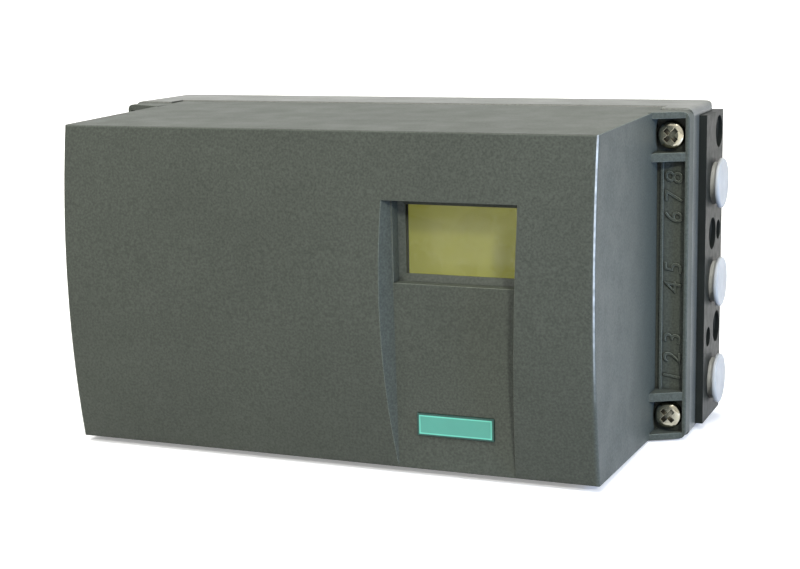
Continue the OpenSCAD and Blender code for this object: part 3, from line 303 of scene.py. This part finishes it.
def moulded_plastic(name, colour, grain_mm=0.6, grain=0.3, rough=(0.46, 0.58), shine=0.3, corner_highlight=False):
    """Spark-eroded moulding: fine grain, faint cloudiness, a painted highlight on the outer edges, painted
    shade in the corners, and on request a painted highlight on the front's right round.
    """
    material, tree, shader = new_material(name)
    shader.inputs["Specular IOR Level"].default_value = shine
    cloud = mottled(tree, colour, size_mm=26.0, share=0.06)
    speck = faded(tree, noise(tree, grain_mm, detail=2.0), SPECK_RANGE, *map(grey, SPECK_SHADES))
    open_share = openness(tree, OPENNESS_REACH_MM)
    # Painted shade darkens the corners, holes and slots
    speckled_and_shaded = grimed(tree, mixed(tree, 1.0, cloud, speck, "MULTIPLY"), open_share, darkest=0.4)
    normal = rounded_normal(tree, radius_mm=0.3)
    # Painted highlight: the outer edges are lightened, drawn like rubbed wear
    edge_highlight = mottled(tree, scaled(colour, EDGE_HIGHLIGHT_SHARE), size_mm=4.0, share=0.25)
    standing_out = faded(tree, open_share, OUTER_RANGE, grey(0.0), grey(1.0))
    edge_highlit = mixed(tree, product(tree, [edge_mask(tree, normal), standing_out]), speckled_and_shaded, edge_highlight)
    # Painted highlight on the upper round between the front and the right side
    if corner_highlight:
        edge_highlit = mixed(tree, front_corner_mask(tree), edge_highlit, mottled(tree, CORNER_HIGHLIGHT_GREY, size_mm=2.0, share=0.35))
    tree.links.new(edge_highlit, shader.inputs["Base Color"])
    uneven_gloss(tree, shader, rough, size_mm=11.0)
    add_bump(tree, shader, noise(tree, grain_mm), grain, depth_mm=0.12, normal=normal)
    return material


def smooth_plastic(name, colour, rough=(0.22, 0.34)):
    """Glossier moulding with faint flow marks."""
    material, tree, shader = new_material(name)
    flow_marks = mottled(tree, colour, size_mm=16.0, share=0.08, detail=4.0)
    tree.links.new(flow_marks, shader.inputs["Base Color"])
    uneven_gloss(tree, shader, rough, size_mm=6.0)
    normal = rounded_normal(tree, radius_mm=0.2)
    add_bump(tree, shader, noise(tree, size_mm=2.4), strength=0.05, depth_mm=0.2, normal=normal)
    return material


def metal(name, colour, rough, grain_mm=1.1, grain=0.05):
    """Metal with fine grain, stains, uneven gloss and painted shade in the slots."""
    material, tree, shader = new_material(name)
    shader.inputs["Metallic"].default_value = 1.0
    stains = mottled(tree, colour, size_mm=3.0, share=0.2, detail=5.0)
    # Painted shade darkens slots, holes and corners
    shaded_stains = grimed(tree, stains, openness(tree, OPENNESS_REACH_MM), darkest=0.1)
    tree.links.new(shaded_stains, shader.inputs["Base Color"])
    uneven_gloss(tree, shader, rough, size_mm=3.0)
    normal = rounded_normal(tree, radius_mm=0.15)
    add_bump(tree, shader, noise(tree, grain_mm), grain, depth_mm=0.2, normal=normal)
    return material


def black_coating(name):
    """Black anodised aluminium, dull enough to mirror its surroundings only at a flat angle."""
    material, tree, shader = new_material(name)
    coat = mottled(tree, BLOCK_BLACK, size_mm=7.0, share=0.2, detail=5.0)
    tree.links.new(coat, shader.inputs["Base Color"])
    shader.inputs["Specular IOR Level"].default_value = 0.18
    uneven_gloss(tree, shader, rough=(0.42, 0.54), size_mm=3.0)
    normal = rounded_normal(tree, radius_mm=0.25)
    add_bump(tree, shader, noise(tree, size_mm=0.7), strength=0.08, depth_mm=0.2, normal=normal)
    return material


def rubber(name):
    """Black rubber with a little dust."""
    material, tree, shader = new_material(name)
    dust = faded(tree, noise(tree, size_mm=14.0, detail=5.0), DUST_RANGE, grey(0.016), grey(0.034))
    tree.links.new(dust, shader.inputs["Base Color"])
    uneven_gloss(tree, shader, rough=(0.6, 0.78), size_mm=5.0)
    add_bump(tree, shader, noise(tree, size_mm=1.4), strength=0.15, depth_mm=0.2)
    return material


def milky_plastic(name):
    """Translucent polyethylene of the dust plugs."""
    material, tree, shader = new_material(name)
    milk = mottled(tree, PLUG_WHITE, size_mm=8.0, share=0.08, detail=4.0)
    tree.links.new(milk, shader.inputs["Base Color"])
    uneven_gloss(tree, shader, rough=(0.28, 0.42), size_mm=3.0)
    shader.inputs["Subsurface Weight"].default_value = 0.8
    shader.inputs["Subsurface Radius"].default_value = (1.0, 1.0, 1.0)
    shader.inputs["Subsurface Scale"].default_value = 3.0 * MM
    normal = rounded_normal(tree, radius_mm=0.3)
    add_bump(tree, shader, noise(tree, size_mm=2.0), strength=0.06, depth_mm=0.2, normal=normal)
    return material


def clear_pane(name):
    """Clear moulded window with a faint haze."""
    material, tree, shader = new_material(name)
    shader.inputs["Alpha"].default_value = 0.1
    haze = faded(tree, noise(tree, size_mm=9.0), NOISE_RANGE, (0.34, 0.36, 0.30), (0.46, 0.48, 0.40))
    tree.links.new(haze, shader.inputs["Base Color"])
    uneven_gloss(tree, shader, rough=(0.04, 0.10), size_mm=5.0)
    return material


def display_film(name):
    """Khaki display that glows though it is no lamp, a painted light that lifts its shade, under a slightly
    creased film.
    """
    material, tree, shader = new_material(name)
    tint = mottled(tree, DISPLAY_KHAKI, size_mm=12.0, share=0.10)
    tree.links.new(tint, shader.inputs["Base Color"])
    # Painted light: the display glows, which lifts the shade in its deep window
    tree.links.new(tint, shader.inputs["Emission Color"])
    shader.inputs["Emission Strength"].default_value = 0.6
    uneven_gloss(tree, shader, rough=(0.2, 0.34), size_mm=6.0)
    add_bump(tree, shader, noise(tree, size_mm=9.0, detail=0.0), strength=0.35, depth_mm=1.0)
    return material


def margin_mask(tree, axis, share):
    """One in a margin at both ends of a piece's own length along an axis."""
    inner = share + MARGIN_FADE
    stops = [(share, grey(1.0)), (inner, grey(0.0)), (1.0 - inner, grey(0.0)), (1.0 - share, grey(1.0))]
    return ramp(tree, axis_of(tree, "Generated", axis), stops)


def framed_plate(name, colour):
    """Bare satin plate with a dark rim and a light line inside it."""
    material, tree, shader = new_material(name)
    field = mottled(tree, colour, size_mm=9.0, share=0.05)
    light_line = mottled(tree, scaled(colour, 1.7), size_mm=9.0, share=0.1)
    dark_rim = mottled(tree, scaled(colour, 0.18), size_mm=9.0, share=0.1)
    for border, margin in ((light_line, LINE_MARGIN), (dark_rim, RIM_MARGIN)):
        for axis, share in zip("XZ", margin):
            field = mixed(tree, margin_mask(tree, axis, share), field, border)
    tree.links.new(field, shader.inputs["Base Color"])
    uneven_gloss(tree, shader, rough=(0.3, 0.42), size_mm=4.0)
    normal = rounded_normal(tree, radius_mm=0.15)
    add_bump(tree, shader, noise(tree, size_mm=1.1), strength=0.08, depth_mm=0.2, normal=normal)
    return material


def circuit_board(name):
    """Green solder resist over faint copper tracks."""
    material, tree, shader = new_material(name)
    place = tree.nodes.new("ShaderNodeTexCoord").outputs["Object"]
    tracks = add_node(tree, "ShaderNodeTexBrick", Scale=260.0)
    tree.links.new(place, tracks.inputs["Vector"])
    tracks.inputs["Color1"].default_value = (0.012, 0.13, 0.045, 1.0)
    tracks.inputs["Color2"].default_value = (0.018, 0.17, 0.06, 1.0)
    tracks.inputs["Mortar"].default_value = (0.03, 0.24, 0.09, 1.0)
    tree.links.new(tracks.outputs["Color"], shader.inputs["Base Color"])
    uneven_gloss(tree, shader, rough=(0.25, 0.4), size_mm=3.0)
    add_bump(tree, shader, tracks.outputs["Fac"], strength=0.1, depth_mm=0.1)
    return material


# One finish for each of the record's material slots
MATERIALS = {
    # The cover takes the painted highlight on its front's right round
    "cover_plastic": moulded_plastic("cover_moulding", COVER_GREY, corner_highlight=True),
    "base_plastic": moulded_plastic("base_moulding", BASE_GREY, rough=(0.3, 0.42), shine=0.5),
    "black_metal": black_coating("black_anodised"),
    "steel": metal("bright_steel", (0.46, 0.43, 0.33), rough=(0.08, 0.2)),
    "shaft_steel": metal("turned_steel", (0.62, 0.62, 0.60), rough=(0.2, 0.34), grain_mm=0.6, grain=0.08),
    "brass": metal("turned_brass", (0.66, 0.47, 0.18), rough=(0.22, 0.36), grain_mm=0.8, grain=0.06),
    "seal_rubber": rubber("black_rubber"),
    "clear": clear_pane("clear_window"),
    "display": display_film("display_film"),
    "plate": framed_plate("teal_plate", PLATE_TEAL),
    "gear_plastic": smooth_plastic("natural_acetal", (0.70, 0.65, 0.48), rough=(0.35, 0.5)),
    "yellow_plastic": smooth_plastic("yellow_moulding", (0.72, 0.46, 0.02)),
    "key_plastic": moulded_plastic("key_moulding", (0.48, 0.48, 0.46), grain_mm=0.3, grain=0.2),
    "board": circuit_board("circuit_board"),
    "dark_plastic": moulded_plastic("black_moulding", (0.030, 0.031, 0.034), grain_mm=0.35, grain=0.25),
    "terminal_plastic": moulded_plastic("terminal_moulding", (0.13, 0.15, 0.17), grain_mm=0.3, grain=0.2),
    "manifold_plastic": moulded_plastic("manifold_moulding", (0.19, 0.21, 0.22), grain_mm=0.4, grain=0.3),
    "gland_plastic": moulded_plastic(
        "gland_moulding", (0.09, 0.095, 0.10), grain_mm=0.4, grain=0.25, rough=(0.34, 0.5)
    ),
    "plug_plastic": milky_plastic("milky_plug"),
}

SLOT_OF = {part["node"]: part["material_slot"] for part in frame["record"]["subparts"]}


def dress_nodes():
    """Gives every CAD node the finish of its material slot."""
    for name, slot_name in SLOT_OF.items():
        piece = frame["nodes"][name]
        piece.data.materials.clear()
        piece.data.materials.append(MATERIALS[slot_name])


# Plain numbers, raised on the strip of the right ear and printed on the terminal blocks

MOUNTS = {mount["name"]: mount for mount in frame["record"]["mounts"]}

# Turns that face a flat drawing to the front, so that it reads to the right or upwards
UPRIGHT = Matrix(((1, 0, 0), (0, 0, -1), (0, 1, 0))).to_4x4()
UPWARDS = Matrix(((0, -1, 0), (0, 0, -1), (1, 0, 0))).to_4x4()

EAR_RIM = 1.1 * MM
STRIP_W = 6.4 * MM
SCREW_HEAD = 2.65 * MM
STRIP_NUMBER_H = 7.2 * MM
STRIP_NUMBER_RISE = 0.45 * MM
STRIP_NUMBER_SLANT = 0.15

# For each port: the numbers, and how far above the port their middle lies, in millimetres
STRIP_NUMBERS = {
    "lower_port": ("1 2 3", 10.4),
    "middle_port": ("4 5", 4.5),
    "upper_port": ("6 7 8", -1.8),
}

TERMINAL_WAYS = 6
TERMINAL_PITCH = 5.5 * MM
TERMINAL_MARGIN = 1.1 * MM
TERMINAL_NUMBER_H = 2.0 * MM
TERMINAL_NUMBER_RISE = 0.06 * MM
TERMINAL_NUMBER_SPACING = 0.85


def finish_piece(name, data, place, slot_name, body):
    """Gives a new piece its place, its finish and the body that carries it."""
    data.materials.append(MATERIALS[slot_name])
    piece = link_object(name, data)
    piece.matrix_world = place
    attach(piece, body)


def number_curve(name, label, height, rise, slant=0.0):
    """Raised numbers around a middle point."""
    data = bpy.data.curves.new(name, "FONT")
    data.body = label
    data.size = height
    data.shear = slant
    data.align_x = "CENTER"
    data.align_y = "CENTER"
    data.extrude = rise
    return data


def add_strip_numbers():
    """Raised numbers beside the ports, which read upwards."""
    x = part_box("cover")[1][0] - EAR_RIM - STRIP_W / 2
    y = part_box("cover_screws")[0][1] + SCREW_HEAD
    for port, (label, shift_mm) in STRIP_NUMBERS.items():
        name = "number_" + port
        data = number_curve(name, label, STRIP_NUMBER_H, STRIP_NUMBER_RISE, STRIP_NUMBER_SLANT)
        z = MOUNTS[port]["pos_m"][2] + shift_mm * MM
        finish_piece(name, data, Matrix.Translation((x, y, z)) @ UPWARDS, "cover_plastic", "cover")


def add_terminal_numbers():
    """A number beside each terminal screw, counted from the top."""
    count = 0
    for row in ("upper_terminals", "lower_terminals"):
        low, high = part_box(row)
        middle = (low[2] + high[2]) / 2
        for way in range(TERMINAL_WAYS):
            count += 1
            name = "terminal_number_" + str(count)
            data = number_curve(name, str(count), TERMINAL_NUMBER_H, TERMINAL_NUMBER_RISE)
            data.space_character = TERMINAL_NUMBER_SPACING
            z = middle + (TERMINAL_WAYS / 2 - 0.5 - way) * TERMINAL_PITCH
            place = Matrix.Translation((high[0] - TERMINAL_MARGIN, low[1], z)) @ UPRIGHT
            finish_piece(name, data, place, "key_plastic", "base")


# Marks on the keys: a ring and two arrowheads

KEY_MARK_R = 1.7 * MM
KEY_MARK_RISE = 0.08 * MM
KEY_MARK_EDGE = 0.05 * MM
RING_HOLE_R = KEY_MARK_R * 0.6
RING_CORNERS = 32


def polygon_points(corners, radius, turn):
    """Corners of a regular polygon whose first corner is turned by an angle in degrees."""
    angles = [math.radians(turn + 360 * i / corners) for i in range(corners)]
    return [(radius * math.cos(angle), radius * math.sin(angle)) for angle in angles]


KEY_MARKS = {
    "mode": [polygon_points(RING_CORNERS, KEY_MARK_R, 0), polygon_points(RING_CORNERS, RING_HOLE_R, 0)],
    "down": [polygon_points(3, KEY_MARK_R, -90)],
    "up": [polygon_points(3, KEY_MARK_R, 90)],
}


def add_key_marks():
    """A filled mark on the middle of each key's front."""
    for key, outlines in KEY_MARKS.items():
        name = "mark_" + key
        data = bpy.data.curves.new(name, "CURVE")
        data.dimensions = "2D"
        data.fill_mode = "BOTH"
        data.extrude = KEY_MARK_RISE
        data.bevel_depth = KEY_MARK_EDGE
        for outline in outlines:
            spline = data.splines.new("POLY")
            spline.points.add(len(outline) - 1)
            spline.use_cyclic_u = True
            for point, (x, y) in zip(spline.points, outline):
                point.co = (x, y, 0.0, 1.0)
        low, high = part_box(key + "_button")
        middle = ((low[0] + high[0]) / 2, low[1], (low[2] + high[2]) / 2)
        finish_piece(name, data, Matrix.Translation(middle) @ UPRIGHT, "dark_plastic", key + "_key")


# Screw threads in the side holes of the block and in the rear inserts

THREAD_STEPS = 36
THREAD_SUNK = 0.08 * MM

# Shares of the pitch: the ridge's height and half width, and the length left free at each end
THREAD_FLANK = 0.4
THREAD_FREE = 0.75

PIPE_PITCH = 1.34 * MM
INSERT_PITCH = 1.25 * MM


def thread_mesh(name, radius, depth, pitch):
    """Three-sided ridge that winds along +Z inside a hole and runs out at both ends."""
    count = int((depth / pitch - 2 * THREAD_FREE) * THREAD_STEPS)
    run_out = THREAD_STEPS / 2
    flank = THREAD_FLANK * pitch
    root = radius + THREAD_SUNK
    points = []
    for step in range(count + 1):
        angle = math.tau * step / THREAD_STEPS
        along = pitch * (THREAD_FREE + step / THREAD_STEPS)
        share = min(1.0, step / run_out, (count - step) / run_out)
        crest = radius - flank * share
        for reach, shift in ((root, -flank), (crest, 0.0), (root, flank)):
            points.append((reach * math.cos(angle), reach * math.sin(angle), along + shift))
    faces = [(2, 1, 0), (3 * count, 3 * count + 1, 3 * count + 2)]
    for step in range(count):
        for side in range(3):
            near = 3 * step + side
            following = 3 * step + (side + 1) % 3
            faces.append((near, following, following + 3, near + 3))
    mesh = bpy.data.meshes.new(name)
    mesh.from_pydata(points, [], faces)
    return mesh


def add_thread(name, mouth, inward, radius, depth, pitch, slot_name):
    """Thread of a hole in the base, from the hole's mouth inward."""
    turn = Vector(inward).to_track_quat("Z", "Y").to_matrix().to_4x4()
    mesh = thread_mesh(name, radius, depth, pitch)
    finish_piece(name, mesh, Matrix.Translation(mouth) @ turn, slot_name, "base")


def add_side_threads():
    hole = MOUNTS["exhaust_hole"]["dims"]
    radius = hole["r_mm"] * MM
    depth = hole["length_mm"] * MM
    block_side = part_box("pneumatic_block")[1][0]
    for name in ("exhaust_hole", "upper_side_hole", "lower_side_hole"):
        mouth = (block_side, *MOUNTS[name]["pos_m"][1:])
        add_thread("thread_" + name, mouth, (-1, 0, 0), radius, depth, PIPE_PITCH, "black_metal")


def add_insert_threads():
    pattern = MOUNTS["rear_inserts"]["dims"]
    radius = pattern["hole_r_mm"] * MM
    low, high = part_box("mounting_inserts")
    depth = high[1] - low[1]
    for i, (side, rise) in enumerate(((-1, -1), (1, -1), (-1, 1), (1, 1))):
        x = side * pattern["spacing_x_mm"] * MM / 2
        z = rise * pattern["spacing_y_mm"] * MM / 2
        name = "thread_insert_" + str(i + 1)
        add_thread(name, (x, high[1], z), (0, -1, 0), radius, depth, INSERT_PITCH, "brass")


# Stage and light

WORLD_LEVEL = 0.2
FRONT_LEVEL = 0.6
TOP_LEVEL = 0.82
REAR_LEVEL = 0.45
RIGHT_LEVEL = 1.0
FRONT_TINT = (1.0, 1.0, 0.94)
TOP_TINT = (1.0, 0.99, 0.95)
REAR_TINT = (1.0, 0.99, 0.97)
RIGHT_TINT = (0.36, 0.55, 1.0)
PANEL_PLACE_MM = (290, -135, 35)
PANEL_AIM_MM = (68, -65, 10)
PANEL_SIZE_MM = 70
FLOOR_WHITE = 0.95
FLOOR_GLOW = 0.3
FLOOR_BOUNCE = 0.06
FLOOR_REACH = 30.0


def seen_directly(tree):
    """One for camera, glossy and transmitted rays, zero for the light that surfaces scatter."""
    path = tree.nodes.new("ShaderNodeLightPath")
    total = path.outputs["Is Camera Ray"]
    for ray in ("Is Glossy Ray", "Is Transmission Ray"):
        both = tree.nodes.new("ShaderNodeMath")
        both.operation = "MAXIMUM"
        tree.links.new(total, both.inputs[0])
        tree.links.new(path.outputs[ray], both.inputs[1])
        total = both.outputs["Value"]
    return total


def add_world():
    """White surroundings that light the object more softly than they look."""
    world = bpy.data.worlds.new("soft_studio")
    world.use_nodes = True
    tree = world.node_tree
    shown = tree.nodes["Background"]
    shown.inputs["Color"].default_value = (1.0, 1.0, 1.0, 1.0)
    shown.inputs["Strength"].default_value = 1.0
    light = add_node(tree, "ShaderNodeBackground", Color=(1.0, 0.99, 0.96, 1.0), Strength=WORLD_LEVEL)
    blend = tree.nodes.new("ShaderNodeMixShader")
    tree.links.new(seen_directly(tree), blend.inputs[0])
    tree.links.new(light.outputs["Background"], blend.inputs[1])
    tree.links.new(shown.outputs["Background"], blend.inputs[2])
    tree.links.new(blend.outputs["Shader"], tree.nodes["World Output"].inputs["Surface"])
    bpy.context.scene.world = world


def add_floor():
    """Pale floor that takes the object's shadow and throws little light back at it."""
    floor_z = cad_box[0][2]
    sides = ((-1, -1), (1, -1), (1, 1), (-1, 1))
    corners = [(x * FLOOR_REACH, y * FLOOR_REACH, floor_z) for x, y in sides]
    mesh = bpy.data.meshes.new("floor")
    mesh.from_pydata(corners, [], [(0, 1, 2, 3)])
    floor = link_object("floor", mesh)
    material, tree, shader = new_material("pale_floor")
    colour = faded(tree, seen_directly(tree), WHOLE_RANGE, grey(FLOOR_BOUNCE), grey(FLOOR_WHITE))
    tree.links.new(colour, shader.inputs["Base Color"])
    glow = faded(tree, seen_directly(tree), WHOLE_RANGE, grey(0.0), grey(FLOOR_GLOW))
    tree.links.new(glow, shader.inputs["Emission Color"])
    shader.inputs["Emission Strength"].default_value = 1.0
    shader.inputs["Roughness"].default_value = 1.0
    shader.inputs["Specular IOR Level"].default_value = 0.0
    mesh.materials.append(material)


def aimed_lamp(name, data, colour, direction):
    """Lamp that shines along a direction and, to begin with, isn't mirrored in the surfaces."""
    data.color = colour
    lamp = link_object(name, data)
    lamp.rotation_euler = direction.to_track_quat("-Z", "Y").to_euler()
    lamp.visible_camera = False
    lamp.visible_glossy = False
    return lamp


def add_sun(name, azimuth, elevation, spread, level, colour):
    """Sun at an azimuth, counted from the front to the right, and an elevation, with a spread, in degrees."""
    around = math.radians(azimuth)
    high = math.radians(elevation)
    source = Vector((math.sin(around) * math.cos(high), -math.cos(around) * math.cos(high), math.sin(high)))
    data = bpy.data.lights.new(name, "SUN")
    data.energy = level * math.pi
    data.angle = math.radians(spread)
    return aimed_lamp(name, data, colour, -source)


def add_panel(name, place_mm, aim_mm, size_mm, level, colour):
    """Lamp close by, whose level holds at the point it aims at."""
    place = Vector(place_mm) * MM
    reach = Vector(aim_mm) * MM - place
    data = bpy.data.lights.new(name, "AREA")
    data.size = size_mm * MM
    data.energy = level * math.pi ** 2 * reach.length_squared
    aimed_lamp(name, data, colour, reach).location = place


def add_lights():
    """Sun from the front right, soft light from above and behind, and a bluish panel at the right."""
    add_sun("light_front", azimuth=36, elevation=28, spread=6, level=FRONT_LEVEL, colour=FRONT_TINT)
    above = add_sun("light_above", azimuth=-10, elevation=66, spread=50, level=TOP_LEVEL, colour=TOP_TINT)
    above.visible_glossy = True
    add_sun("light_rear", azimuth=215, elevation=35, spread=40, level=REAR_LEVEL, colour=REAR_TINT)
    add_panel("light_right", PANEL_PLACE_MM, PANEL_AIM_MM, PANEL_SIZE_MM, RIGHT_LEVEL, RIGHT_TINT)


add_camera()
dress_nodes()
add_strip_numbers()
add_terminal_numbers()
add_key_marks()
add_side_threads()
add_insert_threads()
add_world()
add_floor()
add_lights()
bpy.context.scene.view_settings.view_transform = "Standard"
